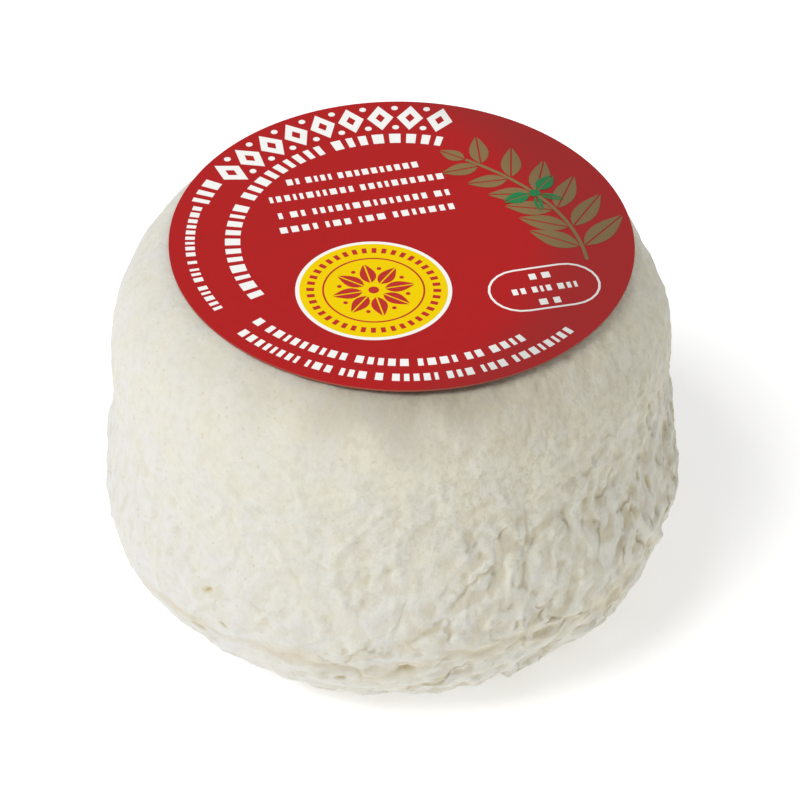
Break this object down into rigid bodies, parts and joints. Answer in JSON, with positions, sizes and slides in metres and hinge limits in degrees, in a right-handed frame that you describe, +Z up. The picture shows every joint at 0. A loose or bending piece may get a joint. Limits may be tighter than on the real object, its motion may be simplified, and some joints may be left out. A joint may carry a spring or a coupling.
{
  "type": "crottin cheese",
  "caption": "Small round ripened goat's-milk cheese with a wrinkled pale rind and a round red paper label on top.",
  "frame": {"origin": "on the flat resting face, at the middle of the plan", "axes": "+Z up from the resting face to the label; -Y is the side shown in front; the label's tilt runs down towards +X"},
  "size_m": [0.05, 0.0519, 0.0327],
  "materials": {
    "rind": "matte",
    "label_paper": "satin"
  },
  "bodies": {
    "root": {"cheese": "rind", "label": "label_paper"}
  },
  "joints": []
}
